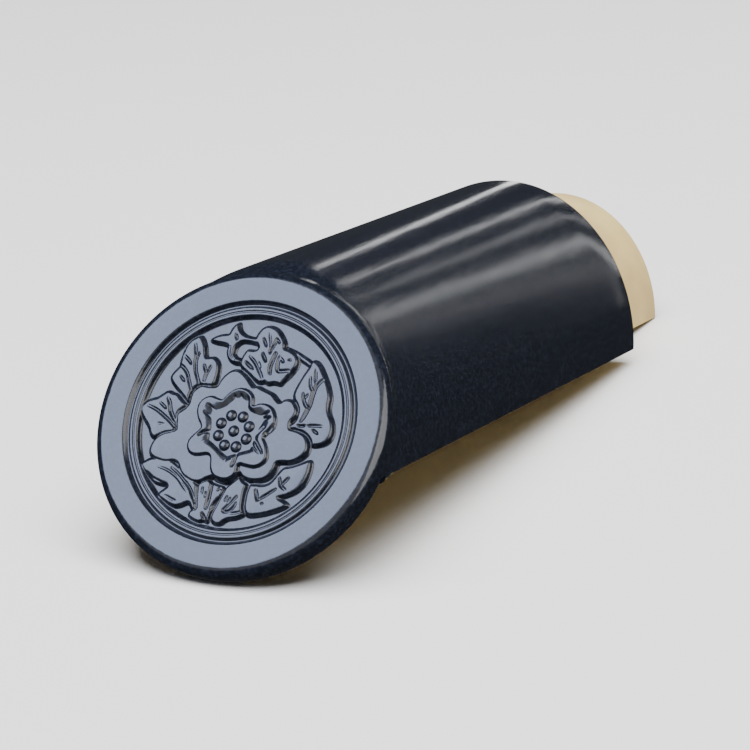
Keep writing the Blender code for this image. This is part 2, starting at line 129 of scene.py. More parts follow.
CARVING = {
    "upper_left_leaf": (
        (-27.2, 34.3), (-25.6, 33.3), (-24, 30.8), (-23, 28.1), (-22, 25.7), (-20.4, 25.7),
        (-18.6, 25.9), (-16.8, 24.8), (-15.5, 22.7), (-15, 19.5), (-15.2, 15.5), (-16.5, 13.7),
        (-20, 13.7), (-22.5, 13.1), (-24.4, 10.9), (-25, 8), (-25.3, 5.5), (-27.3, 7.3), (-30, 9.4),
        (-32.6, 11.4), (-34.8, 13.4), (-35.9, 15.3), (-35.6, 16.9), (-34.4, 18.8), (-33.2, 20.5),
        (-33.3, 22.5), (-33.1, 25.5), (-32.6, 28.5), (-31.5, 31.1), (-29.5, 33.1)),
    "left_leaf": (
        (-34.9, 9.4), (-33.2, 8.8), (-31, 8.5), (-29, 6.8), (-26.6, 5.2), (-25.6, 5.1), (-26, 3.5),
        (-27.9, 1.9), (-28.8, -0.3), (-28.4, -3.1), (-27.9, -6.1), (-28.6, -7.1), (-30.2, -7.8),
        (-32.6, -8.4), (-35, -9.8), (-37.2, -10.9), (-39, -9.7), (-40.2, -7.5), (-41.6, -5.7),
        (-43.4, -3.9), (-45, -1.7), (-45.6, 0.5), (-45.2, 2.5), (-43.9, 4.4), (-42, 5.4), (-40, 6.1),
        (-38, 7.7), (-36.4, 9)),
    "bud": (
        (-21.9, 33.1), (-20.2, 34.7), (-17.5, 35.9), (-14.6, 36.5), (-13.9, 37.9), (-13.2, 39.7),
        (-11.2, 41.8), (-10.3, 40), (-9, 38.1), (-6.5, 36.7), (-3.5, 36.2), (-0.4, 36.1), (0.2, 34.1),
        (-1.5, 33.9), (-4, 34.2), (-7, 34.1), (-9, 32.9), (-10, 30.9), (-10, 28.5), (-8.4, 26.9),
        (-6.6, 26.5), (-6.6, 24.7), (-9.4, 24.8), (-11.8, 26.2), (-13.3, 28.7), (-13.6, 31.5),
        (-16, 32.1), (-19, 32.3)),
    "top_leaf": (
        (-1.9, 35.7), (-1.6, 37.7), (-0.6, 39.8), (1, 41.3), (3.2, 41.9), (5.6, 41.5), (7.8, 40.3),
        (9.6, 38.5), (11, 36.7), (11.9, 34.9), (12.4, 33.2), (14.7, 32.6), (17.2, 31.5), (18.6, 30.1),
        (19.4, 27.9), (18.8, 25.1), (17.2, 22.1), (15.2, 19.3), (13.8, 17.9), (11, 18.1), (8.3, 17.5),
        (6.5, 18.2), (4.5, 17.5), (2, 18.5), (-1, 20.5), (-4.1, 22.4), (-5.8, 23.9), (-6.2, 26.1),
        (-5.6, 28.7), (-4.4, 30.7), (-2.6, 30.9), (-0.7, 31.1), (0.2, 32.5), (-0.8, 34.1)),
    "ridge": (
        (12.5, 33.8), (16.5, 32.8), (20, 31.4), (24.8, 29.1), (25, 27.1), (22.5, 28.1), (20, 29.3),
        (18.2, 30.8), (15.5, 32.4)),
    "right_leaf": (
        (25.2, 28.3), (25.9, 29.3), (27.3, 29.4), (28.9, 28.5), (30.6, 26.7), (32.6, 24), (34.6, 21),
        (36.2, 17.9), (37.4, 14.7), (37.6, 11), (38.6, 8.1), (40.4, 5.3), (41.6, 2.1), (41.7, -0.9),
        (40.8, -3.2), (39, -4.7), (36.6, -5.6), (34.1, -5.9), (33.3, -4.3), (31.6, -2.4), (28.8, -0.8),
        (25.4, -0.1), (22.6, -0.1), (22.6, 2.1), (24.3, 5.1), (24.6, 7.9), (23.6, 10.1), (21.6, 12.4),
        (20.9, 14.9), (21.7, 18.7), (23.2, 22.7), (24.7, 26.2)),
    "lower_right_leaf": (
        (11.3, -25.3), (13.5, -25), (16.8, -24.9), (19.5, -23.5), (21.5, -20.6), (23, -17.9),
        (24.4, -16.5), (27, -15.7), (30, -14.4), (32.8, -13), (34.6, -12.2), (35.5, -13.1),
        (35.7, -16.5), (35.2, -19.9), (34.2, -22.7), (32.4, -25.1), (30, -26.9), (27.2, -28.3),
        (25.2, -29.2), (27.3, -30.2), (29.5, -31.6), (28, -33.1), (25, -34.7), (21, -36.4), (17, -37.6),
        (13.5, -38.1), (11.8, -36.9), (10.8, -34.5), (10.4, -30.5), (10.6, -27.5)),
    "foot_leaf": (
        (5.6, -22.8), (7.4, -24.3), (9.4, -25.7), (9.2, -28.5), (9.4, -32.5), (10, -35.9),
        (11.2, -37.9),
        (8.5, -39.7), (5, -40.7), (3.2, -41.9), (1.8, -43.2), (-0.2, -43.5), (-2, -42.5), (-2.8, -40.7),
        (-2.6, -38.9), (-1.8, -36.5), (-0.8, -33), (0.2, -29.9), (1, -27.7), (2.6, -25.9)),
    "stems": (
        (-11.8, -27.9), (-8.3, -25.7), (-6, -26.7), (-3.6, -27.1), (-0.6, -27.9), (-0.2, -30.1),
        (-1.4, -33.1), (-2.6, -36.5), (-3.5, -39), (-3.8, -41), (-4.2, -43.4), (-6, -42.7), (-8, -43.4),
        (-10.5, -42.9), (-12.9, -41.7), (-13.1, -40), (-11.9, -38.7), (-10.4, -38.1), (-11, -35),
        (-11.6, -31.5)),
    "lower_left_leaf": (
        (-38.6, -21.3), (-39.3, -22.8), (-37.7, -25), (-35.2, -27.3), (-32.2, -29.3), (-29, -30),
        (-26.4, -30.1), (-25.8, -30.7), (-27.2, -32.2), (-28.7, -33.9), (-28.2, -35.3), (-26, -36.5),
        (-23, -37.9), (-20, -38.5), (-17.4, -37.7), (-15.4, -36.5), (-14, -36.4), (-12.9, -37.7),
        (-11.9, -38.8), (-10.6, -38.3), (-11.2, -35), (-11.9, -31.5), (-12.5, -28.1), (-16, -25.5),
        (-21, -22.5), (-27, -19.5), (-35, -19.5)),
    "outer_petals": (
        (-34.6, -9.7), (-36.4, -11.7), (-37.4, -14.5), (-37.3, -17.1), (-35.8, -19), (-33, -20.1),
        (-29, -20.6), (-25.3, -19.9), (-23, -20.9), (-21.5, -23.3), (-19.4, -25.4), (-16, -27),
        (-13, -27.4), (-10.6, -26.7), (-8.3, -25.1), (-4, -23.5), (1, -22.5), (5, -21.3), (7, -22.7),
        (10.5, -23.7), (14, -23.4), (17, -22.4), (19, -20.7), (20.3, -18), (21, -15.1), (23.5, -14.4),
        (26, -14.2), (28.7, -13.2), (31, -11.5), (32.5, -9.5), (32.9, -7.5), (32.3, -4.9), (30.8, -2.6),
        (28.4, -1.3), (25.5, -0.6), (23.2, -0.1), (22.9, 2.3), (24, 4.8), (24.4, 7.1), (23.4, 9.5),
        (21.6, 11.4), (19.6, 11.9), (17.4, 11.5), (15.8, 10.3), (14, 11.5), (11.8, 13.3), (9, 14.3),
        (6.4, 15.1), (4.2, 15.9), (2.8, 15.5), (1.2, 16.7), (-0.8, 18.7), (-3.2, 20.6), (-5.8, 21.7),
        (-8.6, 21.4), (-10.9, 19.7), (-12.7, 17.2), (-14, 14.1), (-16, 13.5), (-20, 13.5),
        (-22.5, 13.1),
        (-24.6, 10.7), (-25.2, 8), (-25.3, 5.5), (-26.3, 3.6), (-28, 1.9), (-28.9, -0.3), (-28.5, -3.1),
        (-28, -6.3), (-30.2, -7.6), (-32.6, -8.4)),
    "inner_petals": (
        (-9.5, 8.4), (-11.4, 8.7), (-14, 9.3), (-16.7, 8.6), (-18.8, 6.7), (-19.7, 4.1), (-19.4, 1.4),
        (-18.1, -1.4), (-16.5, -3.5), (-16.1, -4.8), (-17.2, -6.3), (-19, -8.5), (-20.3, -10.9),
        (-20.2, -13.4), (-18.7, -15.7), (-16.2, -16.8), (-13.4, -16.6), (-10.7, -15.9), (-9.2, -16.1),
        (-8.4, -17.5), (-8, -19.6), (-7.1, -22.1), (-5, -24.5), (-1.7, -25.5), (1.3, -25.3),
        (3.8, -23.9), (5.2, -21.7), (5.1, -19.5), (5.6, -18.3), (7.8, -18.5), (11.3, -18.8),
        (14.3, -17.9), (16.3, -15.9), (17, -13.9), (16.7, -11.4), (15.3, -8.2), (13.7, -5.9),
        (14.4, -4.9), (16.3, -2.9), (17.4, -0.4), (17.2, 2.1), (16.1, 4.9), (14.1, 7.3), (11.3, 8.6),
        (8.3, 8.7), (6.3, 7.9), (5.4, 7.5), (5.2, 9.1), (4.3, 11.4), (2.3, 13.1), (-0.2, 14),
        (-2.7, 14.1), (-5.2, 13), (-7.4, 10.9), (-8.8, 8.9)),
}
VEINS = (
    (0.55, 0.8, ((-28, 30.6), (-27, 27.8), (-26, 25.3), (-25.9, 22.8), (-24.9, 19.3),
        (-23.7, 16.8), (-22.5, 14.5))),
    (0.45, 0.7, ((-31.4, 24.9), (-29, 23.1), (-27.7, 21.8))),
    (0.4, 0.5, ((-25.1, 27.3), (-25.7, 24.8))),
    (0.45, 0.6, ((-31.3, 16.2), (-28.9, 14.1))),
    (0.45, 0.6, ((-21.7, 22.3), (-20.3, 19.1))),
    (0.45, 0.7, ((-18.5, 21.9), (-19.7, 18.3), (-20.2, 15.3))),
    (0.5, 0.7, ((-32.7, 20.9), (-30.5, 19.7), (-28.2, 17.3), (-26.9, 14.6), (-25.3, 11.5))),
    (0.5, 0.7, ((-43, 2.3), (-38.7, 0.9), (-34.7, -1.2), (-31.2, -3.4), (-27.7, -6.3))),
    (0.4, 0.6, ((-37.7, 4.1), (-35.7, 2.8), (-34.2, 1.7))),
    (0.6, 0.7, ((-34.7, 6.5), (-33.2, 4.3), (-32, 1.1), (-30, -1.9), (-29.3, -3))),
    (0.4, 0.3, ((-36.7, -4.9), (-33.7, -4.9))),
    (0.6, 0.8, ((-27.7, 1.6), (-26, 3.4), (-25, 5.3), (-24.9, 8.3), (-24.1, 10.9), (-21.7, 13.1))),
    (0.45, 0.7, ((2, 36.3), (4, 33.1))),
    (0.4, 0.4, ((4.3, 39.1), (5.8, 34.3), (6.5, 31.3))),
    (0.5, 0.8, ((8.1, 36.6), (7.6, 34.3), (6.5, 31.6), (6.5, 30.3))),
    (0.4, 0.6, ((8.1, 36.6), (9.7, 35.2))),
    (0.6, 0.9, ((9.2, 30.6), (8.5, 27.3), (8.1, 24.3), (8.6, 21.6))),
    (0.5, 0.8, ((3.1, 30), (5.5, 26.6))),
    (0.5, 0.7, ((-2.2, 28.1), (0.8, 25.6), (3.8, 21.8), (5.3, 19.5))),
    (0.4, 0.4, ((2.1, 26.3), (3.8, 23.8))),
    (0.5, 0.7, ((-3.7, 25.5), (0.2, 22.8))),
    (0.6, 0.7, ((11.1, 29.3), (11.2, 25.3), (11.9, 23.3), (13.3, 23.3), (16.5, 23.9))),
    (0.5, 0.6, ((11.8, 28.8), (13.5, 27.1))),
    (0.4, 0.4, ((15.3, 28.6), (16.8, 28.5))),
    (0.4, 0.6, ((18.5, 25.1), (14.8, 18.5))),
    (0.6, 0.9, ((32.5, 21.6), (30.9, 19.6), (30.1, 17.3), (29.8, 14.3), (29.6, 11.1), (28.9, 8.3),
        (27.9, 5.3), (27.1, 3.5))),
    (0.4, 0.6, ((28.5, 25.6), (29.3, 22.3), (29.6, 20.3))),
    (0.45, 0.6, ((26.8, 22.3), (27.8, 18.8), (29.3, 16.5))),
    (0.5, 0.7, ((25.3, 15.1), (26.3, 12.3), (27.8, 10.1), (29.1, 9.5))),
    (0.4, 0.4, ((27.6, 15.1), (26.8, 13.3))),
    (0.5, 0.6, ((26.3, 1.8), (27.3, 1.4), (29.3, 1.8))),
    (0.5, 0.6, ((30.8, 1.9), (33.3, 2.2), (37.1, 2.5))),
    (0.45, 0.6, ((33.1, 0.6), (35.8, -1))),
    (0.6, 0.9, ((24.5, 4.9), (23.2, 2.1))),
    (0.5, 0.7, ((23.6, -21), (24.3, -22.7), (25.1, -24.3), (27.3, -25.7))),
    (0.5, 0.7, ((27.8, -20.5), (25.2, -24))),
    (0.5, 0.8, ((23.1, -25.9), (19.8, -28.7), (17.1, -31))),
    (0.6, 0.7, ((14.5, -27.2), (15.5, -29.7), (16.3, -31.7))),
    (0.5, 0.4, ((18.3, -32.5), (19.1, -32.9))),
    (0.45, 0.7, ((6.8, -31), (4.8, -33.9), (2.5, -36.7), (2.2, -37.7), (3.3, -38), (5.1, -37.3),
        (6.5, -35.5), (7.1, -33.7))),
    (0.4, 0.4, ((2.5, -31.2), (1.8, -33.7))),
    (0.4, 0.4, ((4.1, -31.7), (3.3, -34.2))),
    (0.4, 0.5, ((4.8, -38.6), (8.3, -37.7), (10.8, -36.7))),
    (0.6, 1, ((-5.9, -27.2), (-5.7, -30.7), (-5.7, -34.7), (-5.9, -37.5))),
    (0.4, 0.4, ((-9.5, -28.7), (-9.3, -31.7))),
    (0.4, 0.5, ((-7.5, -30.7), (-7.4, -33.2))),
    (0.45, 0.7, ((-1.7, -32.7), (-3, -35.7), (-3.7, -37.5))),
    (0.4, 0.5, ((-2.5, -29.7), (-2, -28.6), (-0.7, -28.7))),
    (0.6, 0.7, ((-7.2, -39.7), (-5.7, -41.7), (-4.2, -43.5))),
    (0.45, 0.5, ((-31.2, -23), (-27.7, -23.7), (-24.7, -24.9), (-21.2, -26.9), (-18.2, -29.7),
        (-15.7, -32))),
    (0.5, 0.7, ((-25.2, -22.7), (-22.2, -24.5), (-18.7, -27.2), (-15.7, -29.7), (-13.2, -32.7),
        (-11.7, -35.7))),
    (0.4, 0.5, ((-17.2, -28), (-14.7, -30.7), (-12.7, -34.2))),
    (0.4, 0.4, ((-36.2, -25.7), (-32.7, -28), (-28.7, -29.2), (-26.2, -29.7))),
    (0.4, 0.4, ((-25.7, -34.5), (-21.7, -35.9), (-20.2, -36.3))),
    (0.5, 0.6, ((-10.9, 36.9), (-9.9, 34.5))),
    (0.45, 0.5, ((-12.3, 31.3), (-12.1, 28.9), (-10.9, 27.1), (-9.3, 26))),
)
PETAL_CREASES = (
    (0.5, 0.8, ((-14.8, 5.2), (-12, 3.4), (-9.5, 1.6))),
    (0.45, 0.8, ((-15.6, 2), (-13, 0.6), (-10.8, -0.6))),
    (0.6, 1.2, ((-15.6, -7.9), (-13.8, -6.4), (-11.6, -5.9))),
    (0.6, 1.2, ((2.9, -14), (2.8, -17), (2.3, -19.2))),
    (0.5, 0.8, ((-4, 10.5), (-3.4, 7.6))),
    (0.5, 0.8, ((-1.3, 11), (-1, 7))),
    (0.5, 0.8, ((2.2, 10), (2.6, 6))),
    (0.5, 0.8, ((8.3, 2), (11, 4), (13, 5.6))),
    (0.5, 0.8, ((9.6, 0.4), (12, 2.4), (14.2, 3.2))),
    (0.7, 1.2, ((16.6, 0.2), (15, -2.6), (13.4, -4.2))),
    (0.6, 1, ((9.4, -6.6), (12, -9.6), (14.2, -12.2))),
    (0.4, 0.6, ((8.5, -9), (11, -11.2), (13, -12.6))),
    (0.5, 0.8, ((12.6, -1.4), (10.4, -3.6), (9.2, -5))),
)
# Raised forms: (rise above the ground, width of the wall round them, crown inside the wall).
FORMS = {
    "lower_left_leaf": (1.7, 1.6, 0.96), "lower_right_leaf": (1.8, 1.7, 0.96),
    "foot_leaf": (1.9, 1.5, 0.48), "stems": (1.6, 1.3, 0.48),
    "left_leaf": (1.6, 1.6, 0.96), "upper_left_leaf": (1.9, 1.6, 0.96),
    "top_leaf": (1.8, 1.5, 0.96), "right_leaf": (1.8, 1.7, 0.96), "ridge": (0.9, 1.6, 0.16),
    "bud": (1.9, 1.7, 0.48), "outer_petals": (2.3, 1.7, 0.8),
}
CROWN_REACH = 4.0               # a form's crown rises over about this much
RELIEF_END = 45.8               # the forms run out here, at the inner moulding
RELIEF_FADE = (46.2, 1.2)       # and their height fades out from this radius, over this width
VEIN_GAIN = 1.35                # the veins are cut a third deeper than listed, so that they show
CURVE_STEPS = 4
INNER_RISE = 4.4                # the inner petals' rims, above the ground
INNER_WALL = 2.2
BOWL_FLOOR = 0.9                # bottom of the bowl round the stamens
BOWL_RADIUS = 7.2
PETAL_RIM = 0.7                 # flat rim of each inner petal
BOWL_STEEPNESS = 1.8            # of the bowl's sides, less this much of BOWL_LEAN towards the top
BOWL_LEAN = 1.1
FLOWER = (-1.0, -4.4)

STAMEN_RING = 6.9
STAMEN_COUNT = 8
STAMEN_RADIUS = 2.55
STAMEN_TOP = 4.6
STAMEN_FLATNESS = 0.72


# ---- small tools ----

def smooth_max(a, b, k):
    """The larger of two arrays, with the corner between them rounded over k."""
    h = np.clip(0.5 + 0.5 * (a - b) / k, 0, 1)
    return b + (a - b) * h + k * h * (1 - h)


def smooth_min(a, b, k):
    """The smaller of two arrays, with the corner between them rounded over k."""
    return -smooth_max(-a, -b, k)


def smooth_step(t):
    """From 0 to 1, level at both ends."""
    t = np.clip(t, 0, 1)
    return t * t * (3 - 2 * t)


def quarter(steps, first=0):
    """(sine, cosine) of equal steps through a quarter turn."""
    for i in range(first, steps + 1):
        a = pi / 2 * i / steps
        yield sin(a), cos(a)


def spline(a, b, c, d, steps):
    """Points of the smooth curves from each b to its c, where a and d are the points beyond."""
    t = (np.arange(steps) / steps)[None, :, None]
    a, b, c, d = (v[:, None, :] for v in (a, b, c, d))
    curve = 0.5 * (2 * b + (c - a) * t + (2 * a - 5 * b + 4 * c - d) * t ** 2
                   + (3 * b - a - 3 * c + d) * t ** 3)
    return curve.reshape(-1, 2)


def closed_curve(points):
    """A smooth closed curve through the points, as straight pieces."""
    p = np.array(points, float)
    return spline(np.roll(p, 1, 0), p, np.roll(p, -1, 0), np.roll(p, -2, 0), CURVE_STEPS)


def open_curve(points):
    """A smooth open curve through the points."""
    p = np.array(points, float)
    p = np.vstack([2 * p[0] - p[1], p, 2 * p[-1] - p[-2]])
    return np.vstack([spline(p[:-3], p[1:-2], p[2:-1], p[3:], CURVE_STEPS - 1), p[-2:-1]])


def distance_to(path, x, z):
    """How far each point is from a path of straight pieces, and how far along it, from 0 to 1."""
    best = np.full(x.shape, 1e9)
    along = np.zeros(x.shape)
    count = len(path) - 1
    for i in range(count):
        (ax, az), (bx, bz) = path[i], path[i + 1]
        dx, dz = bx - ax, bz - az
        t = np.clip(((x - ax) * dx + (z - az) * dz) / (dx * dx + dz * dz + 1e-12), 0, 1)
        d = (x - ax - dx * t) ** 2 + (z - az - dz * t) ** 2
        nearer = d < best
        best = np.where(nearer, d, best)
        along = np.where(nearer, (i + t) / count, along)
    return np.sqrt(best), along


def inside_distance(outline, x, z):
    """Distance to a closed outline, positive inside it."""
    loop = np.vstack([outline, outline[:1]])
    distance, _ = distance_to(loop, x, z)
    inside = np.zeros(x.shape, bool)
    for (ax, az), (bx, bz) in zip(loop[:-1], loop[1:]):
        crosses = (az > z) != (bz > z)
        if abs(bz - az) > 1e-12:
            inside ^= crosses & (x < (bx - ax) * (z - az) / (bz - az) + ax)
    return np.where(inside, distance, -distance)


# ---- the medallion's relief ----

def groove(width, depth, path, x, z):
    """Depth of a groove that follows a path and tapers at both its ends."""
    distance, along = distance_to(open_curve(path), x, z)
    taper = np.sin(pi * np.clip(along, 0.04, 0.96)) ** 0.4
    return depth * np.exp(-(distance / width) ** 2) * taper


def near_points(points, margin, x, z):
    """Which of the grid's points lie in the box round these points, or within margin of it."""
    low, high = np.min(points, 0) - margin, np.max(points, 0) + margin
    return (x > low[0]) & (x < high[0]) & (z > low[1]) & (z < high[1])


def inner_flower(x, z, height):
    """The inner petals: a scalloped rim round a bowl that is steep above and shallow below."""
    depth_in = inside_distance(closed_curve(CARVING["inner_petals"]), x, z)
    reach = np.hypot(x - FLOWER[0], z - FLOWER[1])
    upward = (z - FLOWER[1]) / np.maximum(reach, TINY)
    inward = np.clip(depth_in - PETAL_RIM, 0, None)
    share = inward / (inward + np.clip(reach - BOWL_RADIUS, 0, None) + TINY)
    steepness = BOWL_STEEPNESS - BOWL_LEAN * upward
    bowl = (INNER_RISE - BOWL_FLOOR) * smooth_step(share) ** steepness
    petal = INNER_RISE * smooth_step(depth_in / INNER_WALL + 0.5) - bowl
    creases = sum(groove(*crease, x, z) for crease in PETAL_CREASES)
    return np.where(depth_in > -INNER_WALL / 2, np.maximum(height, petal - creases), height)


def relief_height(x, z):
    """Height of the carving above the sunk ground."""
    height = np.zeros_like(x)
    for name, (rise, wall, crown) in FORMS.items():
        near = near_points(CARVING[name], 2, x, z)
        inside = np.minimum(inside_distance(closed_curve(CARVING[name]), x[near], z[near]),
                            RELIEF_END - np.hypot(x[near], z[near]))
        crowned = crown * (1 - np.exp(-np.clip(inside, 0, None) / CROWN_REACH))
        height[near] = np.maximum(height[near], rise * smooth_step(inside / wall + 0.5) + crowned)
    for width, depth, path in VEINS:
        near = near_points(path, 3, x, z)
        height[near] -= VEIN_GAIN * groove(width, depth, path, x[near], z[near])
    return inner_flower(x, z, height)


def face_depth(x, z):
    """Depth behind the face of every point of its carved part."""
    radius = np.hypot(x, z)
    radii, depths = zip(*reversed(MOULDING))
    fade_from, fade_over = RELIEF_FADE
    fade = smooth_step((fade_from - radius) / fade_over)
    return np.interp(radius, radii, depths) - relief_height(x, z) * fade


# ---- the tile's solid ----

def disc_to_tile(x, depth, up):
    """Disc coordinates (right, into the tile, up the face) to the tile's own frame."""
    y = AXIS_DROP * sin(LEAN) + depth * cos(LEAN) + up * sin(LEAN)
    z = AXIS_DROP * cos(LEAN) - depth * sin(LEAN) + up * cos(LEAN)
    return np.stack([x, y, z], -1)


def lie_down(points):
    """The tile's own frame, in mm, to the tile as it lies, in metres."""
    p = np.asarray(points, float) * MM
    y = LYING_Y[0] * p[..., 1] + LYING_Y[1] * p[..., 2] + LYING_Y[2]
    z = LYING_Z[0] * p[..., 1] + LYING_Z[1] * p[..., 2] + LYING_Z[2]
    return np.stack([p[..., 0], y, z], -1)


def circle_reach(radius, centre_up, c, s):
    """Reach of a ray from the origin to a circle whose centre lies up by centre_up."""
    return centre_up * s + np.sqrt(np.maximum(radius ** 2 - (centre_up * c) ** 2, 0))


def section_reach(half_width, rise, foot, c, s):
    """Reach of a ray to a half-round section in a plane that leans with the disc."""
    up = rise / cos(LEAN)
    a = (c / half_width) ** 2 + (s / up) ** 2
    b = 2 * s * AXIS_DROP / up ** 2
    k = (AXIS_DROP / up) ** 2 - 1
    arch = (-b + np.sqrt(b * b - 4 * a * k)) / (2 * a)
    level, far = 0.02, 400.0        # rays this level never meet the foot; its reach is cut at far
    below = (AXIS_DROP + foot / cos(LEAN)) / np.maximum(-s, level)
    return smooth_min(arch, np.minimum(np.where(s < -level, below, far), far), CORNER)


def leaning_ring(reach, depth, c, s):
    """A ring in a plane parallel to the face, seen from a centre that keeps its height."""
    up = reach * s + depth * tan(LEAN)
    return disc_to_tile(reach * c, np.full_like(up, depth), up)


def upright_ring(reach, y, c, s):
    """The same ring set square across the barrel."""
    z = (reach * s + AXIS_DROP) * cos(LEAN)
    return np.stack([reach * c, np.full_like(z, y), z], -1)


def neck_reach(foot, depth, c, s):
    """The barrel's section near the disc, held inside a cone that opens from the disc's edge."""
    block = section_reach(HALF_WIDTH, RISE, foot, c, s)
    height = np.clip((block * s + AXIS_DROP) * cos(LEAN), 0, None)
    slope = NECK_SLOPE[0] + (NECK_SLOPE[1] - NECK_SLOPE[0]) * height / RISE
    cone = DISC_RADIUS - NECK_INSET + (depth - NECK_START) * slope
    return smooth_min(block, circle_reach(cone, -depth * tan(LEAN), c, s), CORNER)


def skin_rings():
    """Rings of the tile's outer skin, from the rim of the face to the end of the spigot."""
    turn = 2 * pi * np.arange(TURN) / TURN
    c, s = np.cos(turn), np.sin(turn)

    def disc_ring(radius, depth):
        reach = circle_reach(radius, -depth * tan(LEAN), c, s)
        if depth > NECK_START:
            reach = smooth_max(reach, neck_reach(0.0, depth, c, s), NECK_EASE)
        return leaning_ring(reach, depth, c, s)

    def neck_ring(depth):
        along = min(max((depth - DISC_THICKNESS) / LUTE_LENGTH, 0.0), 1.0)
        foot = LUTE_DROP * (1 - (1 - (1 - along) ** 2) ** 0.5)
        return leaning_ring(neck_reach(foot, depth, c, s), depth, c, s)

    def square_ring(half_width, rise, foot, y):
        return upright_ring(section_reach(half_width, rise, foot, c, s), y, c, s)

    # The disc: its flat rim, rounded front edge, side and rounded back edge.
    rings = [leaning_ring(np.full_like(c, radius), 0.0, c, s) for radius in FLAT_RIM_RADII]
    for sine, cosine in quarter(8):
        rings.append(disc_ring(FACE_RADIUS + EDGE_ROUND * sine, EDGE_ROUND * (1 - cosine)))
    rings += [disc_ring(DISC_RADIUS, depth) for depth in SIDE_DEPTHS]
    for sine, cosine in quarter(5):
        rings.append(disc_ring(DISC_RADIUS - BACK_ROUND * (1 - cosine),
                               DISC_THICKNESS - BACK_ROUND * (1 - sine)))
    # The neck, closer together near the disc, then its turn to the barrel's square section.
    for i in range(12):
        rings.append(neck_ring(DISC_THICKNESS + 0.02 + (NECK_END - DISC_THICKNESS) * (i / 11) ** 1.3))
    last = rings[-1]
    straight = square_ring(HALF_WIDTH, RISE, 0.0, FIRST_SQUARE)
    rings += [last + (straight - last) * i / 4 for i in range(1, 5)]
    # The barrel and its rounded shoulder.
    for i in range(1, 13):
        y = FIRST_SQUARE + (LENGTH - SHOULDER_ROUND - FIRST_SQUARE) * i / 12
        rings.append(square_ring(HALF_WIDTH, RISE, 0.0, y))
    for sine, cosine in quarter(5, first=1):
        inset = SHOULDER_ROUND * (1 - cosine)
        rings.append(square_ring(HALF_WIDTH - inset, RISE - inset, -inset,
                                 LENGTH - SHOULDER_ROUND * (1 - sine)))
    # The spigot: a fillet, its straight sides and its rounded end.
    for sine, cosine in quarter(3):
        grow = SPIGOT_FILLET * (1 - sine)
        rings.append(square_ring(SPIGOT_HALF_WIDTH + grow, SPIGOT_RISE + grow, -SPIGOT_LIFT + grow,
                                 LENGTH + SPIGOT_FILLET * (1 - cosine)))
    for i in range(1, 5):
        y = LENGTH + SPIGOT_FILLET + (SPIGOT_LENGTH - SPIGOT_ROUND - SPIGOT_FILLET) * i / 4
        rings.append(square_ring(SPIGOT_HALF_WIDTH, SPIGOT_RISE, -SPIGOT_LIFT, y))
    for sine, cosine in quarter(4, first=1):
        inset = SPIGOT_ROUND * (1 - cosine)
        rings.append(square_ring(SPIGOT_HALF_WIDTH - inset, SPIGOT_RISE - inset, -SPIGOT_LIFT - inset,
                                 LENGTH + SPIGOT_LENGTH - SPIGOT_ROUND * (1 - sine)))
    return rings


def bore_rings():
    """Rings of the hollow under the barrel, with its long lower corners eased."""
    bends = np.linspace(0, pi / 2, 4)[1:]

    def section(half_width, rise):
        first = acos(BORE_EASE / rise)
        foot = half_width * sin(first)
        arch = [(half_width * sin(a), rise * cos(a))
                for a in np.linspace(first, -first, BORE_STEPS + 1)]
        flare = [(foot + BORE_EASE * (1 - cos(a)), BORE_EASE * (1 - sin(a))) for a in bends]
        flare.append((foot + BORE_EASE, -BORE_BELOW))
        return np.array(arch + [(-x, z) for x, z in flare] + list(reversed(flare)))

    def leaning(loop, depth):
        x, z = loop[:, 0], loop[:, 1]
        return np.stack([x, z * tan(LEAN) + depth / cos(LEAN), z], -1)

    def square(loop, y):
        return np.stack([loop[:, 0], np.full(len(loop), y), loop[:, 1]], -1)

    width, rise = HALF_WIDTH - WALL, RISE - WALL
    front = DISC_THICKNESS + LUTE_SKIN
    rings = []
    for sine, cosine in quarter(5):
        inset = LUTE_INNER * (1 - sine)
        rings.append(leaning(section(width - inset, rise - inset), front + LUTE_INNER * (1 - cosine)))
    rings.append(square(section(width, rise), LENGTH - BORE_TAPER * 1.5))
    end = LENGTH + SPIGOT_LENGTH
    # The taper to the spigot's bore, the flare at its mouth, and on past the end to cut cleanly.
    for flare, y in ((0.0, LENGTH - BORE_TAPER * 0.5), (0.0, end - 2.0), (0.6, end - 0.6),
                     (2.0, end), (2.0, end + 5.0)):
        rings.append(square(section(SPIGOT_HALF_WIDTH - SPIGOT_WALL + flare,
                                    SPIGOT_RISE - SPIGOT_WALL + flare), y))
    return rings


def loft(rings):
    """A closed solid through rings of equally many points, as it lies."""
    bm = bmesh.new()
    loops = [[bm.verts.new(p) for p in lie_down(ring)] for ring in rings]
    for near, far in zip(loops, loops[1:]):
        for i in range(len(near)):
            j = (i + 1) % len(near)
            bm.faces.new((near[i], near[j], far[j], far[i]))
    bm.faces.new(list(reversed(loops[0])))
    bm.faces.new(loops[-1])
    bmesh.ops.recalc_face_normals(bm, faces=bm.faces)
    mesh = bpy.data.meshes.new("loft")
    bm.to_mesh(mesh)
    bm.free()
    return mesh


